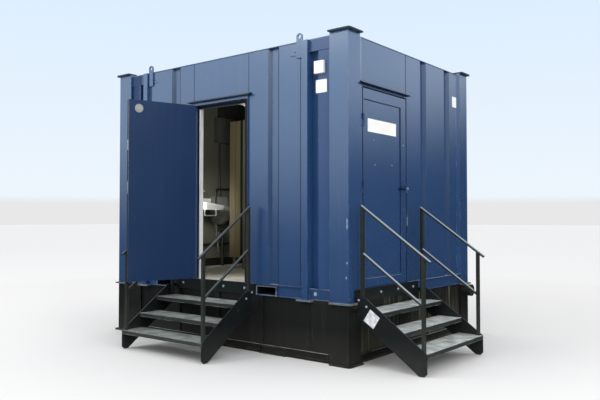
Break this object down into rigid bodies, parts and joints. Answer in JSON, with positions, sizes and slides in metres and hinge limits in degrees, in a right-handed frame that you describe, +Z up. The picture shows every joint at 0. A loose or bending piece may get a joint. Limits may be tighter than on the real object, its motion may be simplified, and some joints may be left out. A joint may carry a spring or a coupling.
{
  "type": "portable toilet cabin",
  "caption": "Steel site toilet cabin on a waste tank, with swaged walls, hinged doors, bolt-on stairs with handrails and lifting eyes.",
  "frame": {"origin": "centre of the tank's floor, on the ground", "axes": "+Z up, -Y out of the long front with the open door, +X out of the end with the second door"},
  "size_m": [3.9565, 3.1965, 2.9819],
  "materials": {
    "cabin_paint": "semi-gloss",
    "tank_paint": "satin",
    "stair_paint": "satin",
    "tread_plate": "gritted",
    "floor_sheet": "matt",
    "lining_board": "satin",
    "partition_board": "satin",
    "sanitary_ware": "glazed",
    "white_plastic": "satin",
    "zinc_steel": "dull",
    "pipe_plastic": "satin"
  },
  "bodies": {
    "cabin": {"tank_floor": "tank_paint", "tank_side_walls": "tank_paint", "tank_end_walls": "tank_paint", "tank_deck": "tank_paint", "tank_corner_posts": "tank_paint", "tank_foot_rails": "tank_paint", "tank_feet": "tank_paint", "tank_outlet": "pipe_plastic", "urinal_pipes": "pipe_plastic", "cistern": "pipe_plastic", "base_rails": "cabin_paint", "fork_pockets": "cabin_paint", "corner_posts": "cabin_paint", "bottom_corner_plates": "cabin_paint", "top_corner_plates": "cabin_paint", "front_wall_left": "cabin_paint", "front_wall_right": "cabin_paint", "front_wall_over_door": "cabin_paint", "end_wall_far": "cabin_paint", "end_wall_over_door": "cabin_paint", "back_wall": "cabin_paint", "left_wall": "cabin_paint", "roof": "cabin_paint", "leg_recesses": "cabin_paint", "leg_guides": "cabin_paint", "jack_legs": "cabin_paint", "lifting_eyes": "cabin_paint", "front_door_frame": "cabin_paint", "end_door_frame": "cabin_paint", "drip_strips": "cabin_paint", "front_hinge_pins": "cabin_paint", "end_hinge_pins": "cabin_paint", "cabin_floor": "floor_sheet", "wall_lining": "lining_board", "supply_box": "white_plastic", "front_stair_hanger": "stair_paint", "front_stair_stringers": "stair_paint", "front_stair_handrails": "stair_paint", "end_stair_hanger": "stair_paint", "end_stair_stringers": "stair_paint", "end_stair_handrails": "stair_paint", "front_stair_treads": "tread_plate", "end_stair_treads": "tread_plate", "partition": "partition_board", "wash_basin": "sanitary_ware", "urinal": "sanitary_ware"},
    "front_door": {"front_door_leaf": "cabin_paint", "front_door_knuckles": "cabin_paint", "front_door_lock": "zinc_steel", "front_door_bumper": "white_plastic"},
    "end_door": {"end_door_leaf": "cabin_paint", "end_door_knuckles": "cabin_paint", "end_door_lock": "zinc_steel"}
  },
  "joints": [
    {"name": "front_door_hinge", "type": "hinge", "parent": "cabin", "child": "front_door", "pos_m": [-0.332, -1.226, 1.555], "axis": [0, 0, -1], "range_deg": [-109, 0]},
    {"name": "end_door_hinge", "type": "hinge", "parent": "cabin", "child": "end_door", "pos_m": [1.606, -0.979, 1.555], "axis": [0, 0, -1], "range_deg": [0, 95]}
  ]
}
